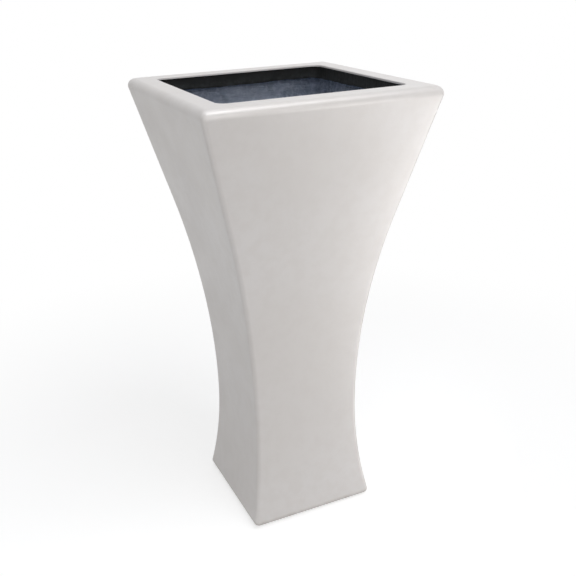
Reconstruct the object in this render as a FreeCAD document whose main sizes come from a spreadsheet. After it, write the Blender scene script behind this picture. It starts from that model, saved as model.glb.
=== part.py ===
"""Tall fiberglass planter, built as the pieces it is made of, in millimetres.

The planter is a square hourglass: four curved walls that lean in from the base
to a waist and flare out to a wide flat rim. One hand-laid moulding makes the
walls, the rim flange and the foot flange; the rest is bonded or screwed to it.
Z is up, the origin is on the floor under the middle of the planter, the wide
face of the photograph looks along -Y and the narrow one along -X.
"""
import FreeCAD, Part
import math
import os
import re

import Sketcher

Vector = FreeCAD.Vector

# ---------------------------------------------------------------- the sizes
# Each row is a size that can be set by itself: name, millimetres, what it is.
DRIVING = [
    ("overall_height", 900.0, "floor to the top of the rim"),
    ("foot_gap", 4.0, "floor to the underside of the moulding"),
    ("base_width", 280.0, "across the foot, before its edge is rounded"),
    ("waist_width", 232.0, "across the narrowest place"),
    ("waist_height", 232.0, "floor to the narrowest place"),
    ("straight_flare", 245.0, "straight top of the flare, along the wall"),
    ("rim_sharp_width", 460.0, "across the wall faces, carried up to the rim plane"),
    ("wall", 4.0, "laminate of the walls and of both flanges"),
    ("corner_radius", 9.0, "upright outer corners"),
    ("inner_corner_radius", 12.0, "upright inner corners"),
    ("rim_edge_radius", 15.0, "outer edge of the rim"),
    ("foot_edge_radius", 10.0, "outer edge of the foot"),
    ("rim_flange_width", 50.0, "rim, from the wall face's sharp top edge to the opening"),
    ("mouth_corner_radius", 20.0, "corners of that opening"),
    ("mouth_edge_radius", 1.5, "top edge of that opening"),
    ("foot_flange_width", 35.0, "foot, from the wall face's sharp lower edge to the opening"),
    ("foot_opening_corner_radius", 20.0, "corners of that opening"),
    ("lip_depth", 24.0, "turned-down strip, below the rim flange"),
    ("lip_thickness", 4.0, "laminate of that strip"),
    ("lip_setback", 0.6, "strip's face behind the edge of the opening"),
    ("lip_joint_gap", 0.5, "between one strip and the next"),
    ("panel_thickness", 6.0, "base panel"),
    ("panel_margin", 2.0, "base panel to the moulding's inner foot rounding"),
    ("panel_corner_radius", 14.0, "corners of the base panel"),
    ("drain_bore", 25.0, "bore of the drain sleeve"),
    ("sleeve_wall", 2.0, "wall and flange of the drain sleeve"),
    ("sleeve_flange_width", 6.0, "flange of the sleeve outside its wall"),
    ("sleeve_overhang", 2.0, "sleeve below the base panel"),
    ("sleeve_clearance", 0.05, "sleeve to the hole in the panel, on the radius"),
    ("plug_clearance", 0.1, "plug to the drain bore, on the radius"),
    ("plug_shank_length", 12.0, "plug below its head"),
    ("plug_head_thickness", 3.0, "head of the plug"),
    ("plug_head_diameter", 36.0, "head of the plug"),
    ("knob_diameter", 14.0, "finger knob on the plug"),
    ("knob_height", 14.0, "finger knob above the head"),
    ("knob_neck_diameter", 8.0, "neck under the knob"),
    ("plug_edge_radius", 1.0, "rounding of the plug's edges"),
    ("pad_diameter", 24.0, "rubber foot pad"),
    ("pad_inset", 30, "pad's centre inside the face of the foot"),
    ("screw_diameter", 4.0, "foot screw"),
    ("screw_length", 11.0, "foot screw under its head's rim"),
    ("screw_head_diameter", 8.0, "countersunk head"),
    ("screw_head_height", 2.2, "countersunk head"),
    ("screw_head_recess", 0.8, "pad's underside to the screw head"),
    ("screw_clearance", 0.25, "screw to the holes it passes, on the radius"),
    ("screw_thread_clearance", 0.03, "screw to its hole in the panel, on the radius"),
    ("slot_width", 1.2, "cross slot of the screw head"),
    ("slot_depth", 1.3, "cross slot of the screw head"),
    ("slot_length", 4.6, "cross slot of the screw head"),
]

# Each row follows from the sizes above: name, formula for the sheet.
DERIVED = [
    ("base_half", "base_width / 2"),
    ("waist_half", "waist_width / 2"),
    ("rim_half", "rim_sharp_width / 2"),
    ("lower_radius", "((base_half - waist_half)^2 + (waist_height - foot_gap)^2)"
                     " / (2 * (base_half - waist_half))"),
    ("flare_run", "rim_half - waist_half"),
    ("flare_rise", "overall_height - waist_height"),
    ("lean", "2 * atan(flare_run / (flare_rise + straight_flare))"),
    ("flare_radius", "(flare_rise - straight_flare * cos(lean)) / sin(lean)"),
    ("flange_underside", "overall_height - wall"),
    ("mouth_width", "rim_sharp_width - 2 * rim_flange_width"),
    ("foot_opening", "base_width - 2 * foot_flange_width"),
    ("foot_top", "foot_gap + wall"),
    ("hollow_rim_radius", "rim_edge_radius - wall"),
    ("hollow_foot_radius", "foot_edge_radius - wall"),
    ("panel_width", "base_width - 2 * (wall + hollow_foot_radius + panel_margin)"),
    ("panel_top", "foot_top + panel_thickness"),
    ("sleeve_outer", "drain_bore + 2 * sleeve_wall"),
    ("sleeve_top", "panel_top + sleeve_wall"),
    ("pad_centre", "base_half - pad_inset"),
    ("screw_radius", "screw_diameter / 2"),
]

EXTRA_CUT = 50.0            # how far a cutting shape reaches past what it cuts
TOUCH = 0.01                # two levels or widths this close are the same
LEVEL_EDGE = 1.0            # an edge that climbs less than this isn't upright
LEAST_CUT = 0.1             # cubic millimetres that a cut has to take off

doc = FreeCAD.newDocument("planter")
sheet = doc.addObject("Spreadsheet::Sheet", "Sizes")
for row, (name, value, meaning) in enumerate(DRIVING, start=1):
    sheet.set("A%d" % row, meaning)
    sheet.set("B%d" % row, str(value))
    sheet.setAlias("B%d" % row, name)
for row, (name, formula) in enumerate(DERIVED, start=len(DRIVING) + 1):
    sheet.set("A%d" % row, "follows from the sizes above")
    sheet.set("B%d" % row, "=" + formula)
    sheet.setAlias("B%d" % row, name)
doc.recompute()


def size(name):
    """A size or a derived size as the sheet holds it."""
    return float(sheet.get(name))


def cells(formula):
    """A formula in plain size names, written so that other objects can use it."""
    known = {name for name, *_ in DRIVING + DERIVED}
    return re.sub(r"[a-z_]\w*", lambda word: "Sizes." + word[0] if word[0] in known else word[0], formula)


def evaluate(formula):
    """The value of a formula in plain size names."""
    return float(sheet.evalExpression(cells(formula)))


def bind(thing, **formulas):
    """Tie properties of an object to formulas in the sheet's sizes."""
    for prop, formula in formulas.items():
        thing.setExpression(prop.replace("__", "."), cells(formula))


# ------------------------------------------------------------- sketch helpers
def new_body(name):
    body = doc.addObject("PartDesign::Body", name)
    body.Label = name
    return body


def new_sketch(body, name, plane, offset=None):
    """A sketch on one of the body's own origin planes, raised by a formula."""
    sketch = body.newObject("Sketcher::SketchObject", name)
    role = plane + "_Plane"
    support = [f for f in body.Origin.OriginFeatures if f.Role == role][0]
    sketch.AttachmentSupport = [(support, "")]
    sketch.MapMode = "FlatFace"
    if offset:
        sketch.setExpression("AttachmentOffset.Base.z", cells(offset))
    return sketch


def drive(sketch, kind, *where, value, formula):
    """A dimension that starts at its value and is tied to its formula."""
    index = sketch.addConstraint(Sketcher.Constraint(kind, *where, value))
    sketch.setExpression("Constraints[%d]" % index, cells(formula))


def join(sketch, pairs):
    for first, first_end, second, second_end in pairs:
        sketch.addConstraint(Sketcher.Constraint("Coincident", first, first_end, second, second_end))


def add_rectangle(sketch, half_width, low, high, formulas):
    """A rectangle, level and even about the upright axis of the sketch."""
    corners = [(half_width, low), (half_width, high), (-half_width, high), (-half_width, low)]
    points = [Vector(x, y, 0) for x, y in corners]
    lines = [sketch.addGeometry(Part.LineSegment(points[i], points[(i + 1) % 4])) for i in range(4)]
    join(sketch, [(lines[i], 2, lines[(i + 1) % 4], 1) for i in range(4)])
    for line, kind in zip(lines, ("Vertical", "Horizontal", "Vertical", "Horizontal")):
        sketch.addConstraint(Sketcher.Constraint(kind, line))
    half_formula, low_formula, high_formula = formulas
    drive(sketch, "DistanceX", -1, 1, lines[0], 1, value=half_width, formula=half_formula)
    drive(sketch, "DistanceX", lines[2], 1, -1, 1, value=half_width, formula=half_formula)
    drive(sketch, "DistanceY", -1, 1, lines[0], 1, value=low, formula=low_formula)
    drive(sketch, "DistanceY", -1, 1, lines[0], 2, value=high, formula=high_formula)


def add_round_square(sketch, width, radius, width_formula, radius_formula):
    """A square with round corners about the origin of the sketch."""
    half, inner = width / 2, width / 2 - radius
    arcs, lines = [], []
    for quarter in range(4):
        turn = quarter * math.pi / 2
        spin = FreeCAD.Rotation(Vector(0, 0, 1), math.degrees(turn))
        centre = spin.multVec(Vector(inner, inner, 0))
        circle = Part.Circle(centre, Vector(0, 0, 1), radius)
        arcs.append(sketch.addGeometry(Part.ArcOfCircle(circle, turn, turn + math.pi / 2)))
        start = spin.multVec(Vector(inner, half, 0))
        end = spin.multVec(Vector(-inner, half, 0))
        lines.append(sketch.addGeometry(Part.LineSegment(start, end)))
    for quarter in range(4):
        following = (quarter + 1) % 4
        sketch.addConstraint(Sketcher.Constraint("Tangent", arcs[quarter], 2, lines[quarter], 1))
        sketch.addConstraint(Sketcher.Constraint("Tangent", lines[quarter], 2, arcs[following], 1))
    for quarter, kind in enumerate(("Horizontal", "Vertical", "Horizontal", "Vertical")):
        sketch.addConstraint(Sketcher.Constraint(kind, lines[quarter]))
    for arc in arcs[1:]:
        sketch.addConstraint(Sketcher.Constraint("Equal", arcs[0], arc))
    sketch.addConstraint(Sketcher.Constraint("Symmetric", lines[0], 1, lines[2], 1, -1, 1))
    drive(sketch, "Radius", arcs[0], value=radius, formula=radius_formula)
    drive(sketch, "DistanceY", lines[2], 1, lines[0], 1, value=width, formula=width_formula)
    drive(sketch, "DistanceX", lines[1], 1, lines[3], 1, value=width, formula=width_formula)


def edges_of(feature, wanted):
    """Names of a feature's edges that pass a test, for a rounding."""
    return ["Edge%d" % (i + 1) for i, edge in enumerate(feature.Shape.Edges) if wanted(edge)]


def round_edges(body, name, base, wanted, radius_formula):
    fillet = body.newObject("PartDesign::Fillet", name)
    fillet.Base = (base, edges_of(base, wanted))
    bind(fillet, Radius=radius_formula)
    doc.recompute()
    return fillet


def pad(body, name, sketch, length_formula, midplane=False, reverse=False):
    feature = body.newObject("PartDesign::Pad", name)
    feature.Profile = sketch
    feature.Midplane = midplane
    feature.Reversed = reverse
    bind(feature, Length=length_formula)
    doc.recompute()
    return feature


def pocket(body, name, sketch, before, midplane=False, reverse=False, length_formula=None):
    """Cut a sketch out of the body and make sure that something came off."""
    feature = body.newObject("PartDesign::Pocket", name)
    feature.Profile = sketch
    feature.Midplane = midplane
    feature.Reversed = reverse
    if length_formula:
        bind(feature, Length=length_formula)
    else:
        feature.Type = "ThroughAll"
    doc.recompute()
    if not feature.Shape.Volume < before.Shape.Volume - LEAST_CUT:
        raise ValueError(name + " cut nothing")
    return feature


# ------------------------------------------------------------ the wall profile
def add_wall_profile(sketch, inset_formula, low_formula, high_formula):
    """The hourglass outline, drawn in by an inset: two arcs and a line a side.

    The lower arc and the flare both stand upright at the waist, and the flare
    runs out into a straight lean. An inset outline has the same centres, so
    the wall between two outlines is even.
    """
    inset, low, high = evaluate(inset_formula), evaluate(low_formula), evaluate(high_formula)
    waist, lean = size("waist_height"), math.radians(size("lean"))
    waist_x = size("waist_half") - inset
    lower, flare = size("lower_radius") + inset, size("flare_radius") + inset
    foot_x = waist_x + lower - math.sqrt(lower ** 2 - (waist - low) ** 2)
    shoulder = waist + flare * math.sin(lean)
    shoulder_x = waist_x + flare * (1 - math.cos(lean))
    rim_x = shoulder_x + (high - shoulder) * math.tan(lean)
    foot_angle = math.asin((waist - low) / lower)

    right, left = [], []
    for side, sign in ((right, 1), (left, -1)):
        for radius, start, end in ((lower, math.pi, math.pi + foot_angle), (flare, math.pi - lean, math.pi)):
            circle = Part.Circle(Vector(sign * (waist_x + radius), waist, 0), Vector(0, 0, 1), radius)
            span = (start, end) if sign > 0 else (math.pi - end, math.pi - start)
            side.append(sketch.addGeometry(Part.ArcOfCircle(circle, *span)))
        side.append(sketch.addGeometry(Part.LineSegment(
            Vector(sign * shoulder_x, shoulder, 0), Vector(sign * rim_x, high, 0))))
    top = sketch.addGeometry(Part.LineSegment(Vector(rim_x, high, 0), Vector(-rim_x, high, 0)))
    bottom = sketch.addGeometry(Part.LineSegment(Vector(-foot_x, low, 0), Vector(foot_x, low, 0)))

    # An arc on the right runs downwards, its mirror image on the left upwards.
    sketch.addConstraint(Sketcher.Constraint("Tangent", right[0], 1, right[1], 2))
    sketch.addConstraint(Sketcher.Constraint("Tangent", right[1], 1, right[2], 1))
    join(sketch, [(left[0], 2, left[1], 1), (left[1], 2, left[2], 1),
                  (right[2], 2, top, 1), (top, 2, left[2], 2),
                  (left[0], 1, bottom, 1), (bottom, 2, right[0], 2)])
    for right_arc, left_arc in zip(right[:2], left[:2]):
        sketch.addConstraint(Sketcher.Constraint("Equal", right_arc, left_arc))
        sketch.addConstraint(Sketcher.Constraint("Symmetric", right_arc, 1, left_arc, 2, -2))
    sketch.addConstraint(Sketcher.Constraint("Symmetric", right[0], 2, left[0], 1, -2))
    sketch.addConstraint(Sketcher.Constraint("Symmetric", right[2], 2, left[2], 2, -2))
    drive(sketch, "Radius", right[0], value=lower, formula="lower_radius + " + inset_formula)
    drive(sketch, "Radius", right[1], value=flare, formula="flare_radius + " + inset_formula)
    for arc in right[:2]:
        drive(sketch, "DistanceY", -1, 1, arc, 3, value=waist, formula="waist_height")
    drive(sketch, "DistanceX", -1, 1, right[1], 2, value=waist_x, formula="waist_half - " + inset_formula)
    drive(sketch, "DistanceY", -1, 1, right[1], 1, value=shoulder,
          formula="waist_height + (flare_radius + %s) * sin(lean)" % inset_formula)
    drive(sketch, "DistanceY", -1, 1, right[2], 2, value=high, formula=high_formula)
    drive(sketch, "DistanceY", -1, 1, right[0], 2, value=low, formula=low_formula)


def hourglass(body, inset, low, high, corner_radius, rim_radius, foot_radius):
    """A solid square hourglass with its upright, rim and foot edges rounded.

    The outline is padded through from front to back, then everything outside
    the same outline is cut away from side to side, which mitres the corners.
    """
    front = new_sketch(body, body.Name + "_front_outline", "XZ")
    add_wall_profile(front, inset, low, high)
    block = pad(body, body.Name + "_block", front, "rim_sharp_width", midplane=True)
    side = new_sketch(body, body.Name + "_side_outline", "YZ")
    add_wall_profile(side, inset, low, high)
    reach = size("rim_half") + EXTRA_CUT
    add_rectangle(side, reach, evaluate(low) - EXTRA_CUT, evaluate(high) + EXTRA_CUT,
                  ("rim_half + %s" % EXTRA_CUT, "%s - %s" % (low, EXTRA_CUT), "%s + %s" % (high, EXTRA_CUT)))
    square = pocket(body, body.Name + "_square", side, block, midplane=True)
    rounded = round_edges(body, body.Name + "_corners", square,
                          lambda edge: edge.BoundBox.ZLength > LEVEL_EDGE, corner_radius)
    rimmed = round_edges(body, body.Name + "_rim_edge", rounded,
                         lambda edge: edge.BoundBox.ZMin > evaluate(high) - TOUCH, rim_radius)
    return round_edges(body, body.Name + "_foot_edge", rimmed,
                       lambda edge: edge.BoundBox.ZMax < evaluate(low) + TOUCH, foot_radius)


# ------------------------------------------------------------------ the shell
def corner_places():
    """The four corners of the foot, by the names a person would use."""
    for side_name, side_sign in (("left", -1), ("right", 1)):
        for end_name, end_sign in (("front", -1), ("back", 1)):
            yield end_name + "_" + side_name, side_sign, end_sign


def add_corner_circles(sketch, radius_formula):
    """Four equal circles on the places of the foot screws."""
    place, radius = size("pad_centre"), evaluate(radius_formula)
    circles = []
    for _, x_sign, y_sign in corner_places():
        centre = Vector(x_sign * place, y_sign * place, 0)
        circle = sketch.addGeometry(Part.Circle(centre, Vector(0, 0, 1), radius))
        for kind, sign in (("DistanceX", x_sign), ("DistanceY", y_sign)):
            ends = (-1, 1, circle, 3) if sign > 0 else (circle, 3, -1, 1)
            drive(sketch, kind, *ends, value=place, formula="pad_centre")
        circles.append(circle)
    for circle in circles[1:]:
        sketch.addConstraint(Sketcher.Constraint("Equal", circles[0], circle))
    drive(sketch, "Radius", circles[0], value=radius, formula=radius_formula)


SCREW_HOLE = "screw_radius + screw_clearance"
THREAD_HOLE = "screw_radius + screw_thread_clearance"


def make_hollow():
    """The inside of the shell, an even wall within its outside."""
    hollow = new_body("hollow")
    hourglass(hollow, "wall", "foot_top", "flange_underside",
              "inner_corner_radius", "hollow_rim_radius", "hollow_foot_radius")
    return hollow


def make_shell(hollow):
    """Four walls, the rim flange and the foot flange, laid up as one moulding."""
    shell = new_body("outer_shell")
    solid = hourglass(shell, "0", "foot_gap", "overall_height",
                      "corner_radius", "rim_edge_radius", "foot_edge_radius")
    walls = shell.newObject("PartDesign::Boolean", "walls")
    walls.Type = "Cut"
    walls.setObjects([hollow])
    doc.recompute()
    if not walls.Shape.Volume < solid.Shape.Volume / 2:
        raise ValueError("the hollow was not cut")

    mouth_outline = new_sketch(shell, "mouth_outline", "XY", "overall_height")
    add_round_square(mouth_outline, size("mouth_width"), size("mouth_corner_radius"),
                     "mouth_width", "mouth_corner_radius")
    mouth = pocket(shell, "mouth", mouth_outline, walls, length_formula="2 * wall")
    half_mouth = size("mouth_width") / 2

    def on_mouth_edge(edge):
        box = edge.BoundBox
        level = box.ZMin > size("overall_height") - TOUCH
        return level and max(box.XMax, box.YMax, -box.XMin, -box.YMin) < half_mouth + TOUCH

    eased = round_edges(shell, "mouth_edge", mouth, on_mouth_edge, "mouth_edge_radius")

    foot_outline = new_sketch(shell, "foot_opening_outline", "XY", "foot_gap")
    add_round_square(foot_outline, size("foot_opening"), size("foot_opening_corner_radius"),
                     "foot_opening", "foot_opening_corner_radius")
    opened = pocket(shell, "foot_opening_cut", foot_outline, eased,
                    reverse=True, length_formula="2 * wall")

    hole_outline = new_sketch(shell, "shell_screw_holes", "XY", "foot_gap")
    add_corner_circles(hole_outline, SCREW_HOLE)
    pocket(shell, "screw_holes", hole_outline, opened, reverse=True, length_formula="2 * wall")
    return shell


# ------------------------------------------------------- the rim's return lip
def make_lips():
    """Four strips turned down from the rim flange, each round one corner.

    A strip runs along one side of the mouth and round the corner at its end,
    where the next one starts.
    """
    strips = []
    for quarter, label in enumerate(("rim_lip_back", "rim_lip_left", "rim_lip_front", "rim_lip_right")):
        body = new_body(label)
        outline = new_sketch(body, label + "_outline", "XY", "flange_underside")
        add_strip_outline(outline)
        pad(body, label + "_strip", outline, "lip_depth", reverse=True)
        body.Placement = FreeCAD.Placement(Vector(0, 0, 0), FreeCAD.Rotation(Vector(0, 0, 1), 90.0 * quarter))
        strips.append(body)
    return strips


def add_strip_outline(sketch):
    """A band along the back of the mouth, with its left end bent round the corner."""
    face = size("mouth_width") / 2 + size("lip_setback")
    thickness, gap = size("lip_thickness"), size("lip_joint_gap")
    radius = size("mouth_corner_radius") + size("lip_setback")
    centre = Vector(-(face - radius), face - radius, 0)
    quarter_turn = (math.pi / 2, math.pi)
    inner = sketch.addGeometry(Part.ArcOfCircle(Part.Circle(centre, Vector(0, 0, 1), radius), *quarter_turn))
    outer = sketch.addGeometry(
        Part.ArcOfCircle(Part.Circle(centre, Vector(0, 0, 1), radius + thickness), *quarter_turn))
    start = face - radius - gap
    front = sketch.addGeometry(Part.LineSegment(Vector(start, face, 0), Vector(centre.x, face, 0)))
    back = sketch.addGeometry(Part.LineSegment(
        Vector(centre.x, face + thickness, 0), Vector(start, face + thickness, 0)))
    first_end = sketch.addGeometry(Part.LineSegment(
        Vector(start, face + thickness, 0), Vector(start, face, 0)))
    last_end = sketch.addGeometry(Part.LineSegment(
        Vector(-face, centre.y, 0), Vector(-face - thickness, centre.y, 0)))
    sketch.addConstraint(Sketcher.Constraint("Tangent", front, 2, inner, 1))
    sketch.addConstraint(Sketcher.Constraint("Tangent", back, 1, outer, 1))
    join(sketch, [(back, 2, first_end, 1), (first_end, 2, front, 1),
                  (inner, 2, last_end, 1), (last_end, 2, outer, 2), (inner, 3, outer, 3)])
    sketch.addConstraint(Sketcher.Constraint("Horizontal", front))
    sketch.addConstraint(Sketcher.Constraint("Vertical", first_end))
    sketch.addConstraint(Sketcher.Constraint("Horizontal", last_end))
    drive(sketch, "Radius", inner, value=radius, formula="mouth_corner_radius + lip_setback")
    drive(sketch, "Radius", outer, value=radius + thickness,
          formula="mouth_corner_radius + lip_setback + lip_thickness")
    drive(sketch, "DistanceY", -1, 1, front, 1, value=face, formula="mouth_width / 2 + lip_setback")
    drive(sketch, "DistanceX", inner, 3, -1, 1, value=-centre.x,
          formula="mouth_width / 2 - mouth_corner_radius")
    drive(sketch, "DistanceX", -1, 1, front, 1, value=start,
          formula="mouth_width / 2 - mouth_corner_radius - lip_joint_gap")


# ------------------------------------------------------------- the base panel
def make_panel():
    """A flat laminate panel that lies on the foot flange and is bonded to it."""
    panel = new_body("base_panel")
    outline = new_sketch(panel, "panel_outline", "XY", "foot_top")
    add_round_square(outline, size("panel_width"), size("panel_corner_radius"),
                     "panel_width", "panel_corner_radius")
    sheet_pad = pad(panel, "panel_sheet", outline, "panel_thickness")

    drain_outline = new_sketch(panel, "drain_outline", "XY", "foot_top")
    radius = evaluate("sleeve_outer / 2 + sleeve_clearance")
    circle = drain_outline.addGeometry(Part.Circle(Vector(0, 0, 0), Vector(0, 0, 1), radius))
    drain_outline.addConstraint(Sketcher.Constraint("Coincident", circle, 3, -1, 1))
    drive(drain_outline, "Radius", circle, value=radius, formula="sleeve_outer / 2 + sleeve_clearance")
    drained = pocket(panel, "drain_hole", drain_outline, sheet_pad, reverse=True)

    hole_outline = new_sketch(panel, "panel_screw_holes", "XY", "foot_top")
    add_corner_circles(hole_outline, THREAD_HOLE)
    pocket(panel, "thread_holes", hole_outline, drained, reverse=True)
    return panel


# ------------------------------------------------- round pieces from primitives
def cylinder(name, radius, height, bottom):
    piece = doc.addObject("Part::Cylinder", name)
    bind(piece, Radius=radius, Height=height, Placement__Base__z=bottom)
    return piece


def cone(name, low_radius, high_radius, height, bottom):
    piece = doc.addObject("Part::Cone", name)
    bind(piece, Radius1=low_radius, Radius2=high_radius, Height=height, Placement__Base__z=bottom)
    return piece


def fuse(name, pieces):
    joined = doc.addObject("Part::MultiFuse", name)
    joined.Shapes = pieces
    joined.Refine = True
    return joined


def cut(name, base, tool):
    left = doc.addObject("Part::Cut", name)
    left.Base = base
    left.Tool = tool
    return left


def move_to(piece, x_sign, y_sign):
    """Stand a round piece on one of the places of the foot screws."""
    bind(piece, Placement__Base__x="%d * pad_centre" % x_sign, Placement__Base__y="%d * pad_centre" % y_sign)


def make_sleeve():
    """A flanged sleeve, bonded in the panel, that carries water past its edge."""
    flange = cylinder("sleeve_flange", "sleeve_outer / 2 + sleeve_flange_width", "sleeve_wall", "panel_top")
    tube = cylinder("sleeve_tube", "sleeve_outer / 2", "panel_thickness + sleeve_wall + sleeve_overhang",
                    "foot_top - sleeve_overhang")
    bore = cylinder("sleeve_bore", "drain_bore / 2", "2 * panel_thickness + sleeve_overhang + 2 * sleeve_wall",
                    "foot_top - 2 * sleeve_overhang")
    sleeve = cut("drain_sleeve", fuse("sleeve_body", [flange, tube]), bore)
    sleeve.Label = "drain_sleeve"
    return sleeve


def make_plug():
    """A plug that drops into the sleeve and is pulled out by its knob."""
    shank = cylinder("plug_shank", "drain_bore / 2 - plug_clearance", "plug_shank_length",
                     "sleeve_top - plug_shank_length")
    head = cylinder("plug_head", "plug_head_diameter / 2", "plug_head_thickness", "sleeve_top")
    neck = cylinder("plug_neck", "knob_neck_diameter / 2", "knob_height / 2",
                    "sleeve_top + plug_head_thickness")
    knob = cylinder("plug_knob", "knob_diameter / 2", "knob_height / 2",
                    "sleeve_top + plug_head_thickness + knob_height / 2")
    whole = fuse("plug_body", [shank, head, neck, knob])
    doc.recompute()
    plug = doc.addObject("Part::Fillet", "drain_plug")
    plug.Label = "drain_plug"
    plug.Base = whole
    radius = size("plug_edge_radius")
    rims = [size("plug_head_diameter"), size("knob_diameter"), size("drain_bore") - 2 * size("plug_clearance")]
    low = evaluate("sleeve_top - plug_shank_length")
    head_top = evaluate("sleeve_top + plug_head_thickness")

    def is_outer_rim(edge):
        """Rims of the head and the knob, and the shank's lower end."""
        box = edge.BoundBox
        flat = box.ZLength < TOUCH
        known_width = min(abs(box.XLength - rim) for rim in rims) < TOUCH
        return flat and known_width and (box.ZMin < low + TOUCH or box.ZMin > head_top - TOUCH)

    chosen = [i + 1 for i, edge in enumerate(whole.Shape.Edges) if is_outer_rim(edge)]
    plug.Edges = [(number, radius, radius) for number in chosen]
    return plug


def make_pad(place_name, x_sign, y_sign):
    """A rubber pad under one corner, countersunk for its screw."""
    disc = cylinder("pad_disc_" + place_name, "pad_diameter / 2", "foot_gap", "0")
    hole = cylinder("pad_hole_" + place_name, SCREW_HOLE, "2 * foot_gap", "-foot_gap / 2")
    sink = cone("pad_sink_" + place_name, "screw_head_diameter / 2 + screw_clearance", SCREW_HOLE,
                "screw_head_height", "screw_head_recess")
    mouth = cylinder("pad_mouth_" + place_name, "screw_head_diameter / 2 + screw_clearance",
                     "2 * screw_head_recess", "-screw_head_recess")
    for piece in (disc, hole, sink, mouth):
        move_to(piece, x_sign, y_sign)
    foot = cut("foot_pad_" + place_name, disc, fuse("pad_cut_" + place_name, [hole, sink, mouth]))
    foot.Label = "foot_pad_" + place_name
    return foot


def make_screw(place_name, x_sign, y_sign):
    """A countersunk screw with a cross slot, its head down."""
    shank = cylinder("screw_shank_" + place_name, "screw_radius", "screw_length", "screw_head_recess")
    head = cone("screw_head_" + place_name, "screw_head_diameter / 2", "screw_radius",
                "screw_head_height", "screw_head_recess")
    slots = []
    for turn, (x_size, y_size) in enumerate((("slot_length", "slot_width"), ("slot_width", "slot_length"))):
        slot = doc.addObject("Part::Box", "slot_%d_%s" % (turn, place_name))
        bind(slot, Length=x_size, Width=y_size, Height="2 * slot_depth",
             Placement__Base__x="%d * pad_centre - %s / 2" % (x_sign, x_size),
             Placement__Base__y="%d * pad_centre - %s / 2" % (y_sign, y_size),
             Placement__Base__z="screw_head_recess - slot_depth")
        slots.append(slot)
    for piece in (shank, head):
        move_to(piece, x_sign, y_sign)
    return cut("screw_" + place_name, fuse("screw_body_" + place_name, [shank, head]),
               fuse("screw_slots_" + place_name, slots))


def make_screws():
    """The four foot screws, alike, as one group of separate solids."""
    group = doc.addObject("Part::Compound", "foot_screws")
    group.Label = "foot_screws"
    group.Links = [make_screw(*place) for place in corner_places()]
    return group


# ------------------------------------------------------------------- the whole
hollow_body = make_hollow()
subparts = [make_shell(hollow_body)]
subparts += make_lips()
subparts += [make_panel(), make_sleeve(), make_plug()]
subparts += [make_pad(*place) for place in corner_places()]
subparts.append(make_screws())
doc.recompute()

for thing in doc.Objects:
    if "Invalid" in thing.State or "Error" in thing.State:
        raise ValueError("failed: %s %s" % (thing.Name, thing.State))
for part in subparts:
    if part.Shape.isNull() or not part.Shape.isValid():
        raise ValueError("bad shape: " + part.Label)

os.makedirs("parts", exist_ok=True)
for part in subparts:
    part.Shape.exportStep("parts/%s.step" % part.Label)
    box = part.Shape.BoundBox
    print("%-24s solids %d  %7.1f x %7.1f x %6.1f  z %6.1f to %6.1f  %9.0f mm3" % (
        part.Label, len(part.Shape.Solids), box.XLength, box.YLength, box.ZLength,
        box.ZMin, box.ZMax, part.Shape.Volume))
print("lower arc %.0f mm, flare %.0f mm, lean %.1f degrees" % tuple(
    size(name) for name in ("lower_radius", "flare_radius", "lean")))
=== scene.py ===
# %% [markdown]
# A tall fiberglass planter on a pale floor.
# The real one is laid up by hand: a satin off-white skin outside, rough
# blue-grey laminate inside, and near-black strips turned down under the rim.
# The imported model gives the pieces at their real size. This lesson keeps the
# small hard pieces as they are and gives them finishes, and builds again what
# shows the hand of the maker: the shell and the strips of the lip.

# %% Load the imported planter
import math

import bpy
import numpy as np
from mathutils import Matrix, Vector


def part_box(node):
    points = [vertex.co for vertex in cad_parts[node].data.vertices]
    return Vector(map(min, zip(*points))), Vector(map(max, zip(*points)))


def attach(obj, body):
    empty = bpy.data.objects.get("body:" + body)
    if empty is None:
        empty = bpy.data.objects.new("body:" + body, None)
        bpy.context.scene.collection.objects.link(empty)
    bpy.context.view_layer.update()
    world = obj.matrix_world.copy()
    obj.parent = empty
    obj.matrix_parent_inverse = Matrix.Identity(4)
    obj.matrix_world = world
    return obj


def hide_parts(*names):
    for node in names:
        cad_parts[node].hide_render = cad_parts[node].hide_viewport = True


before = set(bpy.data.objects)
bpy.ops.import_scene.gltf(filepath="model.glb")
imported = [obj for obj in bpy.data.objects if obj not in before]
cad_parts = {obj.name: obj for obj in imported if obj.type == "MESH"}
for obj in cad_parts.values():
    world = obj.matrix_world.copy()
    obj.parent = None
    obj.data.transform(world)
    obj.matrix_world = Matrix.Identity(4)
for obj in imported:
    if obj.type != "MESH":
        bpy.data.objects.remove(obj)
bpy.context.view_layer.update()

# %% [markdown]
# The photograph looks down on one corner of the planter, a little from the
# left of the wide face. The camera stands where a person with a phone would,
# about chest high, and is turned a touch about its own axis as hands do. The
# small shift puts the planter where it sits in the picture.

# %% The camera
AZIMUTH, ELEVATION, ROLL = math.radians(-24.05), math.radians(24.05), math.radians(-1.80)
CAMERA_PLACE = Vector((-0.6166, -1.3819, 1.1087))
LENS = 48.98                 # mm, on a sensor 36 mm wide
SHIFT = (0.0101, 0.0359)


def camera_axes(azimuth, elevation, roll):
    """Right, up and back of a camera: back points from the object to the camera,
    right is level, and both are then turned by the roll about back."""
    back = Vector((math.sin(azimuth) * math.cos(elevation),
                   -math.cos(azimuth) * math.cos(elevation), math.sin(elevation)))
    right = Vector((math.cos(azimuth), math.sin(azimuth), 0))
    up = back.cross(right)
    turned_right = math.cos(roll) * right + math.sin(roll) * up
    turned_up = -math.sin(roll) * right + math.cos(roll) * up
    return turned_right, turned_up, back


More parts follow.
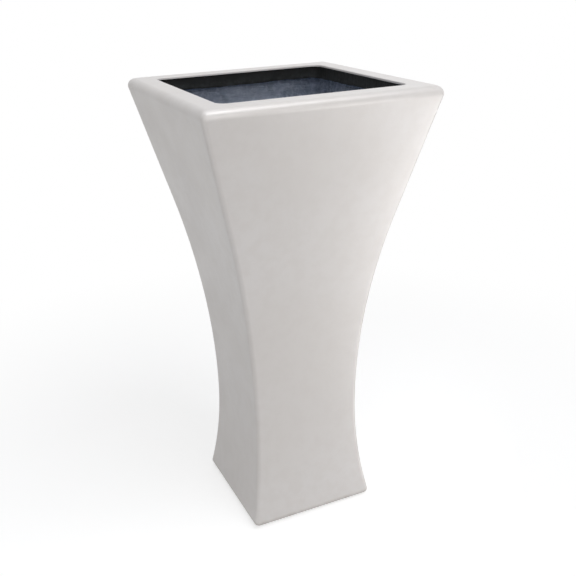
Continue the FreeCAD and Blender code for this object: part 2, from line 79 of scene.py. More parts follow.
camera = bpy.data.objects.new("camera", bpy.data.cameras.new("camera"))
bpy.context.scene.collection.objects.link(camera)
camera.matrix_world = Matrix.Translation(CAMERA_PLACE) @ Matrix(
    camera_axes(AZIMUTH, ELEVATION, ROLL)).transposed().to_4x4()
camera.data.lens = LENS
camera.data.sensor_width = 36.0
camera.data.shift_x, camera.data.shift_y = SHIFT
camera.data.clip_start = 0.02
bpy.context.scene.camera = camera
print("camera", [round(x, 3) for x in CAMERA_PLACE], "lens", LENS)

# %% [markdown]
# Every new piece here is a grid of points worked out with numpy. One helper
# turns a grid into a mesh: rows run along a profile, columns run round the
# planter, and either way can be closed, so that a shell has no open seam.

# %% A grid of points becomes a mesh


def grid_faces(rows, columns, close_rows, close_columns):
    """Four-cornered faces between neighbouring rows and columns of a grid."""
    row = np.arange(rows if close_rows else rows - 1)[:, None]
    column = np.arange(columns if close_columns else columns - 1)[None, :]
    next_row, next_column = (row + 1) % rows, (column + 1) % columns
    corners = [row * columns + column, row * columns + next_column,
               next_row * columns + next_column, next_row * columns + column]
    return np.stack([c + np.zeros_like(row + column) for c in corners], axis=-1).reshape(-1, 4)


def grid_piece(name, points, close_rows=False, close_columns=True, caps=False, flip=False,
               sharp_degrees=40):
    """A piece from an array of points, rows by columns by xyz. Caps close the two ends."""
    rows, columns = points.shape[:2]
    faces = grid_faces(rows, columns, close_rows, close_columns).tolist()
    if caps:
        first = np.arange(rows) * columns
        faces += [first.tolist(), (first + columns - 1)[::-1].tolist()]
    if flip:
        faces = [face[::-1] for face in faces]
    mesh = bpy.data.meshes.new(name)
    mesh.from_pydata(points.reshape(-1, 3).tolist(), [], faces)
    mesh.update()
    mesh.shade_smooth()
    mesh.set_sharp_from_angle(angle=math.radians(sharp_degrees))
    piece = bpy.data.objects.new(name, mesh)
    bpy.context.scene.collection.objects.link(piece)
    print(name, len(mesh.vertices), "points,", len(mesh.polygons), "faces")
    return piece


# %% [markdown]
# The shell is one moulding: a square hourglass. Its outline from the side has
# an arc up to the waist, a longer arc out of it, and a straight lean up to
# the rim. The laminate has one thickness, so the inside is the same outline
# moved in along its own normals. That is the whole trick: draw the outside
# once, as points with normals, and the moulding's section closes itself.

# %% Sizes of the shell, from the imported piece
shell_low, shell_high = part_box("outer_shell")
lip_low, lip_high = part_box("rim_lip_back")
RIM_TOP, FOOT = shell_high.z, shell_low.z
WALL = RIM_TOP - lip_high.z                        # the lip starts under the flange
RIM_EDGE, FOOT_EDGE, MOUTH_EDGE = 0.015, 0.010, 0.0015
RIM_HALF = 0.230                                   # where wall face and rim plane would meet
BASE_HALF, WAIST_HALF, WAIST_UP = 0.140, 0.116, 0.232
STRAIGHT_FLARE = 0.245
LIP_THICK, LIP_SETBACK = 0.004, 0.0006             # a strip, and how far it stands behind the opening
MOUTH_HALF = lip_high.y - LIP_THICK - LIP_SETBACK
FOOT_OPENING_HALF = 0.105

# The straight top of the flare is tangent to an arc that stands upright at the waist.
lean = 2 * math.atan((RIM_HALF - WAIST_HALF) / (RIM_TOP - WAIST_UP + STRAIGHT_FLARE))
FLARE = (RIM_TOP - WAIST_UP - STRAIGHT_FLARE * math.cos(lean)) / math.sin(lean)
LOWER = ((BASE_HALF - WAIST_HALF) ** 2 + (WAIST_UP - FOOT) ** 2) / (2 * (BASE_HALF - WAIST_HALF))
print("wall", round(WALL, 4), "mouth", round(2 * MOUTH_HALF, 3), "lean", round(math.degrees(lean), 2))

# %% The outline of the outside, with its normals
STEPS = {"mouth": 7, "top": 12, "rim": 26, "flare line": 26, "flare arc": 40, "lower arc": 26, "foot": 14,
         "under": 8}


def arc(centre_x, centre_z, radius, start, end, count):
    """Points on a circle from one angle to another, and the directions from its centre."""
    angle = np.linspace(start, end, count)
    way = np.stack([np.cos(angle), np.sin(angle)], axis=-1)
    return np.array([centre_x, centre_z]) + radius * way, way


def straight(start, end, normal, count):
    """Points on a line, with one normal."""
    share = np.linspace(0, 1, count)[:, None]
    points = (1 - share) * np.array(start) + share * np.array(end)
    return points, np.tile(np.array(normal), (count, 1))


def outer_outline():
    """The outside of the section from the mouth over the rim and down to the foot opening.

    Every stretch is a line or an arc that is tangent to the last one. The rim
    edge is a circle that touches the top plane and the leaning wall; the foot
    edge touches the wall and the underside. Walls are circles seen from
    outside, so their normals point to the circle's centre.
    """
    rim_x = RIM_HALF - RIM_EDGE * (math.tan(lean) + 1 / math.cos(lean))
    rim_centre = (rim_x, RIM_TOP - RIM_EDGE)
    rim = arc(*rim_centre, RIM_EDGE, math.pi / 2, -lean, STEPS["rim"])
    shoulder = (WAIST_HALF + FLARE * (1 - math.cos(lean)), WAIST_UP + FLARE * math.sin(lean))
    out_normal = (math.cos(lean), -math.sin(lean))
    flare_line = straight(rim[0][-1], shoulder, out_normal, STEPS["flare line"])
    flare_arc = arc(WAIST_HALF + FLARE, WAIST_UP, FLARE, math.pi - lean, math.pi, STEPS["flare arc"])
    # The foot edge circle lies inside the wall circle's outside and above the underside.
    foot_z = FOOT + FOOT_EDGE
    reach = math.asin((WAIST_UP - foot_z) / (LOWER + FOOT_EDGE))
    lower_arc = arc(WAIST_HALF + LOWER, WAIST_UP, LOWER, math.pi, math.pi + reach, STEPS["lower arc"])
    foot_x = WAIST_HALF + LOWER - (LOWER + FOOT_EDGE) * math.cos(reach)
    foot = arc(foot_x, foot_z, FOOT_EDGE, reach, -math.pi / 2, STEPS["foot"])
    top = straight((MOUTH_HALF + MOUTH_EDGE, RIM_TOP), (rim_x, RIM_TOP), (0, 1), STEPS["top"])
    under = straight((foot_x, FOOT), (FOOT_OPENING_HALF, FOOT), (0, -1), STEPS["under"])
    mouth = arc(MOUTH_HALF + MOUTH_EDGE, RIM_TOP - MOUTH_EDGE, MOUTH_EDGE, math.pi, math.pi / 2,
                STEPS["mouth"])
    stretches = [mouth, top, rim, flare_line, (flare_arc[0], -flare_arc[1]),
                 (lower_arc[0], -lower_arc[1]), foot, under]
    names = ["mouth", "top", "rim", "wall", "wall", "wall", "foot", "under"]
    points, normals, kinds = [], [], []
    for (place, way), name in zip(stretches, names):
        first = 1 if points else 0           # a stretch starts where the last one ended
        points.append(place[first:])
        normals.append(way[first:])
        kinds += [name] * (len(place) - first)
    return np.concatenate(points), np.concatenate(normals), np.array(kinds)


outside, outside_normals, outside_kind = outer_outline()
print("outline", len(outside), "points, widest", round(2 * outside[:, 0].max(), 4))

# %% [markdown]
# Seen from above, each level of the shell is a square with rounded corners.
# With half width w and corner radius r, a point of it is (w - r) A + r B,
# where A is a corner of the unit square and B a direction on the unit circle.
# A and B are the same for all levels, so they are worked out once.

# %% A square with rounded corners, as two sets of directions
CORNER_STEPS, SIDE_STEPS = 9, 46


def direction(angle):
    """The unit direction at an angle: its cosine and its sine."""
    return np.array([math.cos(angle), math.sin(angle)])


def round_square(corner_steps, side_steps):
    """The directions A and B of every column, anticlockwise from the +X+Y corner."""
    corners, ways = [], []
    for quarter in range(4):
        turn = quarter * math.pi / 2
        angle = turn + np.linspace(0, math.pi / 2, corner_steps)
        corner = math.sqrt(2) * direction(turn + math.pi / 4)
        following = math.sqrt(2) * direction(turn + 3 * math.pi / 4)
        side = direction(turn + math.pi / 2)
        share = np.linspace(0, 1, side_steps + 2)[1:-1, None]
        corners += [np.tile(corner, (corner_steps, 1)), (1 - share) * corner + share * following]
        ways += [np.stack([np.cos(angle), np.sin(angle)], axis=-1), np.tile(side, (side_steps, 1))]
    return np.concatenate(corners), np.concatenate(ways)


corner_way, circle_way = round_square(CORNER_STEPS, SIDE_STEPS)


def levels_of(half_width, corner_radius, height):
    """A grid of points, (w - r) A + r B at its height: one rounded square for each level."""
    half_width, corner_radius, height = np.broadcast_arrays(half_width, corner_radius, height)
    flat = ((half_width - corner_radius)[:, None, None] * corner_way[None]
            + corner_radius[:, None, None] * circle_way[None])
    upright = np.broadcast_to(height[:, None, None], flat.shape[:2] + (1,))
    return np.concatenate([flat, upright], axis=-1)


print("columns", len(corner_way))

# %% [markdown]
# The corners are tight outside, softer inside where the glass mat bridges
# them, and widest at the mouth. Hand lay-up also leaves the walls a little
# uneven, which a satin finish shows in its long reflections. A few slow waves
# are enough for that: a fifth of a millimetre outside, where the mould made
# the face, and seven tenths inside, where the roller did.

# %% Build the shell
CORNER, INNER_CORNER, MOUTH_CORNER, FOOT_CORNER = 0.009, 0.012, 0.020, 0.020
RIM_TOP_CORNER = 0.006
TOP_END_HALF = 0.21          # half width at which the mouth's corners have faded out on the rim
FLANGE_FADE = 0.03           # and the width of that fade on the flange's underside


def outer_corner_radius(points, kinds):
    """Corner radius of each level outside: the mouth's fades into the walls' on the flat top."""
    radius = np.full(len(points), CORNER)
    top_share = np.clip((points[:, 0] - MOUTH_HALF) / (TOP_END_HALF - MOUTH_HALF), 0, 1)
    on_top = np.isin(kinds, ["mouth", "top"])
    radius[on_top] = (MOUTH_CORNER + (RIM_TOP_CORNER - MOUTH_CORNER) * top_share)[on_top]
    on_rim = kinds == "rim"
    rim_share = np.linspace(0, 1, on_rim.sum())
    radius[on_rim] = RIM_TOP_CORNER + (CORNER - RIM_TOP_CORNER) * np.sin(rim_share * math.pi / 2)
    under = kinds == "under"
    foot_share = np.linspace(0, 1, under.sum())
    radius[under] = CORNER + (FOOT_CORNER - CORNER) * foot_share
    return radius


def inner_corner_radius(points, kinds):
    """Corner radius of each level inside, with the same fades at the mouth and the foot opening."""
    radius = np.full(len(points), INNER_CORNER)
    flange = np.isin(kinds, ["mouth", "top"])
    share = np.clip((points[:, 0] - MOUTH_HALF) / FLANGE_FADE, 0, 1)
    radius[flange] = (MOUTH_CORNER + (INNER_CORNER - MOUTH_CORNER) * share)[flange]
    under = kinds == "under"
    radius[under] = INNER_CORNER + (FOOT_CORNER - INNER_CORNER) * np.linspace(0, 1, under.sum())
    return radius


WAVE_LENGTHS = (0.31, 0.23, 0.17, 0.12)
OUTSIDE_WAVES, INSIDE_WAVES = 0.0002, 0.0007


def slow_waves(points, seed, height):
    """Sum of length x sin(direction . point + phase) over the wave lengths, with directions and
    phases from the seed, scaled so that the sum never passes the height asked."""
    dice = np.random.default_rng(seed)
    total = np.zeros(points.shape[:2])
    for length in WAVE_LENGTHS:
        way = dice.normal(size=3)
        way *= 2 * math.pi / length / np.linalg.norm(way)
        total += np.sin(points @ way + dice.uniform(0, 2 * math.pi)) * length
    return height * total / sum(WAVE_LENGTHS)


def build_shell():
    """Outside levels down, inside levels (outside - wall x normal) up again, closed both ways.
    The walls alone get the waves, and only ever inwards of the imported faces."""
    outer = levels_of(outside[:, 0], outer_corner_radius(outside, outside_kind), outside[:, 1])
    keep = outside_kind != "mouth"
    place = (outside - WALL * outside_normals)[keep][::-1]
    kinds = outside_kind[keep][::-1]
    place[0, 0], place[-1, 0] = FOOT_OPENING_HALF, MOUTH_HALF
    inner = levels_of(place[:, 0], inner_corner_radius(place[::-1], kinds[::-1])[::-1], place[:, 1])
    level_way = np.concatenate([circle_way, np.zeros((len(circle_way), 1))], axis=1)[None]
    wall_out = (outside_kind == "wall")[:, None, None]
    wall_in = (kinds == "wall")[:, None, None]
    outer_move = (slow_waves(outer, 3, OUTSIDE_WAVES) - OUTSIDE_WAVES)[..., None]
    inner_move = (slow_waves(inner, 5, INSIDE_WAVES) + INSIDE_WAVES)[..., None]
    outer = outer + wall_out * level_way * outer_move
    inner = inner - wall_in * level_way * inner_move
    points = np.concatenate([outer, inner])
    shell = grid_piece("planter_shell", points, close_rows=True, flip=True)
    return shell, len(outer)


planter_shell, outer_rows = build_shell()
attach(planter_shell, "planter")
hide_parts("outer_shell")

# %% [markdown]
# The shell's two finishes follow its two sides, so the faces are given one of
# two material slots by their row. The laminate inside shows glass strands,
# and these lie in the wall, so the shell also gets a UV map in metres: across
# the wall, and up along the section. A pattern on it keeps its size and never
# stretches over the flare.

# %% A flat map of the walls, in metres
NEXT_WALL = (1.37, 0.61)     # each wall's part of the map starts this far on from the last one's


def face_sides(points):
    """Which of the four walls each column of faces belongs to, by its middle."""
    middle = points.mean(axis=1)
    turn = np.arctan2(middle[:, 1], middle[:, 0])
    return np.round(turn / (math.pi / 2)).astype(int) % 4


def map_walls(piece, rows, columns):
    """UV in metres: across is the distance along the wall's own direction, and up is the
    length of the section so far; each wall starts at a place of its own."""
    mesh = piece.data
    place = np.empty(len(mesh.vertices) * 3)
    mesh.vertices.foreach_get("co", place)
    place = place.reshape(-1, 3)
    middle_column = place.reshape(rows, columns, 3)[:, columns // 8]
    step = np.linalg.norm(np.diff(middle_column, axis=0), axis=1)
    run = np.concatenate([[0], np.cumsum(step)])
    corner = np.empty(len(mesh.loops), dtype=np.int32)
    mesh.loops.foreach_get("vertex_index", corner)
    corner = corner.reshape(-1, 4)
    side = face_sides(place[corner])[:, None]
    turn = side * math.pi / 2
    across = -np.sin(turn) * place[corner][..., 0] + np.cos(turn) * place[corner][..., 1]
    flat = np.stack([across + side * NEXT_WALL[0], run[corner // columns] + side * NEXT_WALL[1]], axis=-1)
    layer = mesh.uv_layers.new(name="lay_up")
    layer.uv.foreach_set("vector", flat.astype(np.float32).ravel())


total_rows = len(planter_shell.data.vertices) // len(corner_way)
map_walls(planter_shell, total_rows, len(corner_way))
face_rows = np.arange(len(planter_shell.data.polygons)) // len(corner_way)
inside_face = ((face_rows >= outer_rows - 1) & (face_rows < total_rows - 1)).astype(np.int32)
planter_shell.data.polygons.foreach_set("material_index", inside_face)
print("laminate on", int(inside_face.sum()), "of", len(inside_face), "faces")

# %% [markdown]
# Under the rim, four strips of laminate are turned down and wetted out with
# black resin. Each runs along one side and bends round one corner. A strip is
# a rounded section carried along that path. Its lower edge was trimmed by
# hand, so it wanders a little, and the strip is never quite flat.

# %% The strips of the lip
LIP_CORNER, JOINT_GAP = 0.0226, 0.0005
LIP_TOP, LIP_LOW = lip_high.z, lip_low.z
LIP_MIDDLE = lip_high.y - LIP_THICK / 2
PATH_STEPS, BEND_STEPS, EDGE_STEPS, SIDE_UP_STEPS = 110, 16, 9, 6
FULLNESS = 0.88                                        # the strip's thickness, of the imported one's
EDGE_RISE = 0.0019                                     # the trimmed edge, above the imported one
EDGE_WANDER = ((0.0008, 21), (0.0005, 67), (0.0003, 190))    # heights, and radians per metre of run
BOW = ((0.00030, 33), (0.00015, 101))                        # the same, for how flat it lies


def strip_path(straight_steps, bend_steps):
    """Middle line of the back strip, with its outward directions and its length so far:
    a straight run towards -X along the back, then a quarter circle round the corner."""
    bend_centre = LIP_MIDDLE - LIP_CORNER
    share = np.linspace(0, 1, straight_steps)
    line = np.stack([bend_centre - JOINT_GAP - share * (2 * bend_centre - JOINT_GAP),
                     np.full(straight_steps, LIP_MIDDLE)], axis=-1)
    angle = np.linspace(math.pi / 2, math.pi, bend_steps)[1:]
    way = np.stack([np.cos(angle), np.sin(angle)], axis=-1)
    bend = np.array([-bend_centre, bend_centre]) + LIP_CORNER * way
    middle = np.concatenate([line, bend])
    outward = np.concatenate([np.tile([0.0, 1.0], (straight_steps, 1)), way])
    run = np.concatenate([[0], np.cumsum(np.linalg.norm(np.diff(middle, axis=0), axis=1))])
    return middle, outward, run


def strip_section(edge_steps):
    """Closed rounded section: across from -1/2 to 1/2 and up from 0 to 1, with a full
    round at the foot and square at the top, where it meets the flange."""
    angle = np.linspace(0, -math.pi, edge_steps)
    foot = np.stack([0.5 * np.cos(angle), np.full(edge_steps, 0.0)], axis=-1)
    drop = np.sin(angle)
    side_up = np.linspace(0, 1, SIDE_UP_STEPS + 1)[1:]
    left = np.stack([np.full(SIDE_UP_STEPS, -0.5), side_up], axis=-1)
    right = np.stack([np.full(SIDE_UP_STEPS, 0.5), side_up[::-1]], axis=-1)
    section = np.concatenate([foot, left, right])
    return section, np.concatenate([drop, np.zeros(2 * SIDE_UP_STEPS)])


def wander(run, waves, phases):
    """Sum of height x sin(run x rate + phase) over the waves."""
    return sum(height * np.sin(run * rate + phase) for (height, rate), phase in zip(waves, phases))


def lip_strip(name, quarters, seed):
    """A strip: middle line + across x thickness x outward, and up from its own low edge."""
    middle, outward, run = strip_path(PATH_STEPS, BEND_STEPS)
    section, drop = strip_section(EDGE_STEPS)
    dice = np.random.default_rng(seed)
    phase = dice.uniform(0, 2 * math.pi, 5)
    low = LIP_LOW + EDGE_RISE + wander(run, EDGE_WANDER, phase[:3])
    bow = wander(run, BOW, phase[3:])
    across = section[:, 0, None] * LIP_THICK * FULLNESS
    height = (low[None] + section[:, 1, None] * (LIP_TOP - low)[None]
              + drop[:, None] * LIP_THICK * FULLNESS / 2)
    free = np.clip((LIP_TOP - height) / (LIP_TOP - LIP_LOW), 0, 1)
    offset = across + bow[None] * free
    flat = middle[None] + offset[..., None] * outward[None]
    cosine, sine = direction(quarters * math.pi / 2)
    turned = np.stack([flat[..., 0] * cosine - flat[..., 1] * sine,
                       flat[..., 0] * sine + flat[..., 1] * cosine, height], axis=-1)
    strip = grid_piece(name, turned, close_rows=True, close_columns=False, caps=True, flip=True)
    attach(strip, "planter")
    return strip


FIRST_SEED = 11
lip_strips = []
for quarters, side in enumerate(["back", "left", "front", "right"]):
    strip = lip_strip("lip_strip_" + side, quarters, FIRST_SEED + quarters)
    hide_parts("rim_lip_" + side)
    lip_strips.append(strip)

# %% [markdown]
# Finishes are node materials. These small helpers keep each one readable:
# a texture, a blend of two colours, a bump, each made in one line. A number
# that is the same all over a surface goes straight on the shader's socket.

# %% Helpers for finishes


def start_finish(name, colour, roughness, **sockets):
    """A Principled material with its constants on its own sockets."""
    material = bpy.data.materials.new(name)
    material.use_nodes = True
    tree = material.node_tree
    shader = tree.nodes["Principled BSDF"]
    shader.inputs["Base Color"].default_value = (*colour, 1)
    shader.inputs["Roughness"].default_value = roughness
    for socket, value in sockets.items():
        shader.inputs[socket.replace("_", " ")].default_value = value
    return material, tree, shader


def add(tree, kind, **settings):
    """A node with its settings."""
    node = tree.nodes.new(kind)
    for key, value in settings.items():
        setattr(node, key, value)
    return node


def place_on(tree, source="Object", scale=(1, 1, 1), turn=(0, 0, 0), shift=(0, 0, 0)):
    """Object coordinates, or the walls' own map, through a Mapping node."""
    if source == "Object":
        start = add(tree, "ShaderNodeTexCoord").outputs["Object"]
    else:
        start = add(tree, "ShaderNodeUVMap", uv_map=source).outputs["UV"]
    mapping = add(tree, "ShaderNodeMapping")
    mapping.inputs["Scale"].default_value = scale
    mapping.inputs["Rotation"].default_value = turn
    mapping.inputs["Location"].default_value = shift
    tree.links.new(start, mapping.inputs["Vector"])
    return mapping.outputs["Vector"]


def noise(tree, where, scale, detail=2.0, roughness=0.5, distortion=0.0):
    """Soft random values between 0 and 1."""
    node = add(tree, "ShaderNodeTexNoise")
    node.inputs["Scale"].default_value = scale
    node.inputs["Detail"].default_value = detail
    node.inputs["Roughness"].default_value = roughness
    node.inputs["Distortion"].default_value = distortion
    tree.links.new(where, node.inputs["Vector"])
    return node.outputs["Fac"]


def spread(tree, value, low, high, to_low=0.0, to_high=1.0):
    """Stretches a value from low..high to another range, smoothly, with the ends held."""
    node = add(tree, "ShaderNodeMapRange", interpolation_type="SMOOTHSTEP")
    sockets = ("From Min", "From Max", "To Min", "To Max")
    for socket, number in zip(sockets, (low, high, to_low, to_high)):
        node.inputs[socket].default_value = number
    tree.links.new(value, node.inputs["Value"])
    return node.outputs["Result"]


def blend(tree, factor, first, second):
    """One colour where the factor is 0, the other where it is 1. In a colour Mix node,
    the factor is input 0 and the two colours are inputs 6 and 7."""
    node = add(tree, "ShaderNodeMix", data_type="RGBA")
    tree.links.new(factor, node.inputs[0])
    for socket, colour in ((node.inputs[6], first), (node.inputs[7], second)):
        if isinstance(colour, tuple):
            socket.default_value = (*colour, 1)
        else:
            tree.links.new(colour, socket)
    return node.outputs[2]


def join_values(tree, kind, first, second):
    """Math on two values, or on a value and a number."""
    node = add(tree, "ShaderNodeMath", operation=kind)
    for socket, value in zip(node.inputs, (first, second)):
        if isinstance(value, (int, float)):
            socket.default_value = value
        else:
            tree.links.new(value, socket)
    return node.outputs[0]


def height_above_floor(tree):
    """Height of a point above the floor, in metres."""
    split = add(tree, "ShaderNodeSeparateXYZ")
    tree.links.new(place_on(tree), split.inputs[0])
    return split.outputs["Z"]


def bump(tree, height, distance, under=None):
    """Tilts the light as if the surface rose by height x distance, in metres."""
    node = add(tree, "ShaderNodeBump")
    node.inputs["Strength"].default_value = 1.0
    node.inputs["Distance"].default_value = distance
    tree.links.new(height, node.inputs["Height"])
    if under is not None:
        tree.links.new(under, node.inputs["Normal"])
    return node.outputs["Normal"]


def dress(piece, *materials):
    """Puts materials in a piece's slots. A CAD node's mesh isn't touched, only its object."""
    mesh = piece.data
    while len(mesh.materials) < len(materials):
        mesh.materials.append(None)
    for slot, material in zip(piece.material_slots, materials):
        slot.link = "OBJECT"
        slot.material = material


# %% [markdown]
# Gelcoat is a thick polyester paint, sprayed into the mould before the glass.
# It comes out satin: a faint orange peel, polish that varies a little from
# place to place, and hardly any colour change. Near the floor it is darkened
# in patches: painted shade where the foot meets the floor.
# The shader is one fifth metal, which gives the white its soft run of light.

# %% Satin off-white gelcoat


WARM_WHITE, COOL_WHITE, SHADED_WHITE = (0.672, 0.642, 0.622), (0.694, 0.668, 0.655), (0.645, 0.612, 0.590)
# Colour and top height of the painted shade along the foot, where the shell meets the floor.
FOOT_SHADE_COLOUR, FOOT_SHADE_TOP = (0.30, 0.25, 0.20), 0.020


def gelcoat_finish():
    """Two whites in large clouds, a third in small ones, painted shade in patches at the foot,
    and two bumps: orange peel, and a ripple a few centimetres long."""
    material, tree, shader = start_finish("satin gelcoat", (0.69, 0.66, 0.64), 0.42, Metallic=0.2,
                                          Specular_IOR_Level=0.5, Coat_Weight=0.2, Coat_Roughness=0.3)
    slow = noise(tree, place_on(tree), 3.2, 3.0)
    tint = blend(tree, spread(tree, slow, 0.35, 0.65), WARM_WHITE, COOL_WHITE)
    cloud = noise(tree, place_on(tree), 38, 4.0, 0.6)
    tint = blend(tree, spread(tree, cloud, 0.35, 0.70, 0.0, 0.5), tint, SHADED_WHITE)
    # Painted shade at the foot: darker in noisy patches from the floor up to the shade's top height.
    dust_and_shade_noise = noise(tree, place_on(tree, scale=(1, 1, 0.3)), 60, 4.0, 0.6)
    low = spread(tree, height_above_floor(tree), FOOT, FOOT_SHADE_TOP, 1.0, 0.0)
    painted_foot_shade = join_values(tree, "MULTIPLY", low, spread(tree, dust_and_shade_noise, 0.35, 0.7, 0.25, 0.8))
    tree.links.new(blend(tree, painted_foot_shade, tint, FOOT_SHADE_COLOUR), shader.inputs["Base Color"])
    polish = noise(tree, place_on(tree), 14, 3.0)
    tree.links.new(spread(tree, polish, 0.3, 0.7, 0.38, 0.46), shader.inputs["Roughness"])
    peel = noise(tree, place_on(tree), 240, 2.0)
    ripple = noise(tree, place_on(tree), 22, 2.0)
    first = bump(tree, peel, 0.00004)
    tree.links.new(bump(tree, ripple, 0.00035, under=first), shader.inputs["Normal"])
    return material


# %% [markdown]
# Behind the gelcoat is glass mat: strands about as long as a finger, chopped
# and thrown in every direction, then wetted with tinted resin and rolled.
# Narrow stretched noise turned to four directions gives such strands. The
# highest of the four is both the relief and the paler streaks.

# %% Rough laminate, blue-grey, black or grey


STRAND_TURNS = ((0.25, 0.0), (1.05, 3.1), (1.85, 7.7), (2.70, 5.3))    # a turn and a shift each
STRAND_SCALE = (26, 430, 26)                                           # long one way, thin the other
# Black of the painted shade under the flange, on the lip strips.
UNDER_FLANGE_SHADE = (0.004, 0.004, 0.004)


def strand_relief(tree, source):
    """Strands in four directions: the highest of four stretched noises."""
    layers = []
    for turn, shift in STRAND_TURNS:
        where = place_on(tree, source, scale=STRAND_SCALE, turn=(0, 0, turn), shift=(shift, shift, 0))
        layers.append(noise(tree, where, 1.0, 1.0, 0.4, 0.6))
    highest = layers[0]
    for layer in layers[1:]:
        highest = join_values(tree, "MAXIMUM", highest, layer)
    return spread(tree, highest, 0.5, 0.78)


def laminate_finish(name, dark, middle, pale, roughness, source, relief=0.0007, gloss=0.45, shade_heights=None):
    """Dark to middle by pools of resin, then to pale by fine specks, wide clouds and strands.
    The last argument, if given, names the heights over which it darkens to black towards the top: painted
    shade under the flange."""
    material, tree, shader = start_finish(name, middle, roughness, Specular_IOR_Level=gloss)
    strands = strand_relief(tree, source)
    pools = noise(tree, place_on(tree), 26, 5.0, 0.62)
    wide = noise(tree, place_on(tree), 6, 3.0, 0.5)
    base = blend(tree, spread(tree, pools, 0.40, 0.60), dark, middle)
    fine = noise(tree, place_on(tree), 110, 4.0, 0.65)
    base = blend(tree, spread(tree, fine, 0.42, 0.66, 0.0, 0.7), base, pale)
    base = blend(tree, spread(tree, wide, 0.45, 0.75, 0.0, 0.5), base, pale)
    base = blend(tree, join_values(tree, "MULTIPLY", strands, 0.5), base, pale)
    # Painted shade: black towards the top of the given heights, as under the flange.
    if shade_heights:
        base = blend(tree, spread(tree, height_above_floor(tree), *shade_heights), base, UNDER_FLANGE_SHADE)
    tree.links.new(base, shader.inputs["Base Color"])
    polish = spread(tree, pools, 0.3, 0.7, roughness - 0.12, roughness + 0.12)
    tree.links.new(polish, shader.inputs["Roughness"])
    first = bump(tree, strands, relief)
    lumps = noise(tree, place_on(tree), 70, 4.0, 0.6)
    tree.links.new(bump(tree, lumps, relief * 2.2, under=first), shader.inputs["Normal"])
    return material


gelcoat = gelcoat_finish()
blue_laminate = laminate_finish("blue-grey laminate", (0.200, 0.240, 0.325), (0.350, 0.405, 0.515),
                                (0.590, 0.640, 0.745), 0.60, "lay_up")
# The lip strips darken towards their top, from 0.870 to 0.896 m: painted shade under the flange.
black_laminate = laminate_finish("black resin laminate", (0.007, 0.007, 0.006), (0.016, 0.017, 0.017),
                                 (0.040, 0.043, 0.044), 0.58, "Object", 0.0004, 0.2, (0.870, 0.896))
panel_laminate = laminate_finish("grey laminate", (0.080, 0.085, 0.090), (0.120, 0.126, 0.132),
                                 (0.190, 0.196, 0.200), 0.66, "Object", 0.0006)
dress(planter_shell, gelcoat, blue_laminate)
for strip in lip_strips:
    dress(strip, black_laminate)
dress(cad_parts["base_panel"], panel_laminate)
print("laminates done")

# %% [markdown]
# The small fittings stay as packed: they are turned or moulded parts whose
# shape is already right. Moulded plastic has a fine spark-eroded grain, rubber
# is duller and a little dusty, and the screws are zinc-plated steel, brushed
# round by the tool that cut them.

# %% Plastic, rubber and steel


def moulded_finish(name, colour, dusty, roughness, grain, relief):
    """Plastic or rubber: fine grain, a little dust in patches."""
    material, tree, shader = start_finish(name, colour, roughness, Specular_IOR_Level=0.45)
    dust_and_shade_noise = noise(tree, place_on(tree), 90, 4.0, 0.6)
    tint = blend(tree, spread(tree, dust_and_shade_noise, 0.5, 0.8, 0.0, 0.7), colour, dusty)
    tree.links.new(tint, shader.inputs["Base Color"])
    polish = spread(tree, dust_and_shade_noise, 0.3, 0.8, roughness - 0.06, roughness + 0.12)
    tree.links.new(polish, shader.inputs["Roughness"])
    tree.links.new(bump(tree, noise(tree, place_on(tree), grain, 2.0), relief), shader.inputs["Normal"])
    return material


def steel_finish():
    """Zinc on steel: bright, with fine streaks and a few duller spots."""
    material, tree, shader = start_finish("zinc-plated steel", (0.62, 0.63, 0.64), 0.32, Metallic=1.0)
    streaks = noise(tree, place_on(tree, scale=(1, 1, 12)), 700, 2.0)
    spots = noise(tree, place_on(tree), 260, 3.0)
    tree.links.new(blend(tree, spread(tree, spots, 0.5, 0.75), (0.64, 0.65, 0.66), (0.40, 0.39, 0.37)),
                   shader.inputs["Base Color"])
    tree.links.new(spread(tree, streaks, 0.3, 0.7, 0.24, 0.42), shader.inputs["Roughness"])
    tree.links.new(bump(tree, streaks, 0.00003), shader.inputs["Normal"])
    return material


sleeve_plastic = moulded_finish("black moulded plastic", (0.018, 0.018, 0.019), (0.055, 0.053, 0.050),
                                0.42, 1500, 0.00004)
plug_rubber = moulded_finish("plug rubber", (0.024, 0.023, 0.022), (0.075, 0.070, 0.062),
                             0.66, 900, 0.00006)
pad_rubber = moulded_finish("foot rubber", (0.030, 0.029, 0.028), (0.095, 0.090, 0.082),
                            0.72, 700, 0.00008)
zinc_steel = steel_finish()
dress(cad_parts["drain_sleeve"], sleeve_plastic)
dress(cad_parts["drain_plug"], plug_rubber)
for pad in ("front_left", "back_left", "front_right", "back_right"):
    dress(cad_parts["foot_pad_" + pad], pad_rubber)
dress(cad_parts["foot_screws"], zinc_steel)
print("fittings done")

# %% [markdown]
# The planter stands on a plain pale floor before white. The floor is lit as
# everything else is, so it keeps the shadow; the part of its white that the
# lamps don't give comes in for camera, glossy and transmission rays only, so
# it never lights the planter.

# %% Floor and world
FLOOR_SIZE = 40.0
FLOOR_GREY, FLOOR_GLOW = (0.55, 0.55, 0.55, 1), 0.64
FADE_FROM, FADE_TO = 0.55, 1.5           # metres from the planter's middle
ROOM_LIGHT = 0.25


def seen_directly(tree):
    """1 for rays from the camera, or reflected or passed on to it; 0 for light that is gathered."""
    path = add(tree, "ShaderNodeLightPath")
    either = join_values(tree, "MAXIMUM", path.outputs["Is Camera Ray"], path.outputs["Is Glossy Ray"])
    return join_values(tree, "MAXIMUM", either, path.outputs["Is Transmission Ray"])


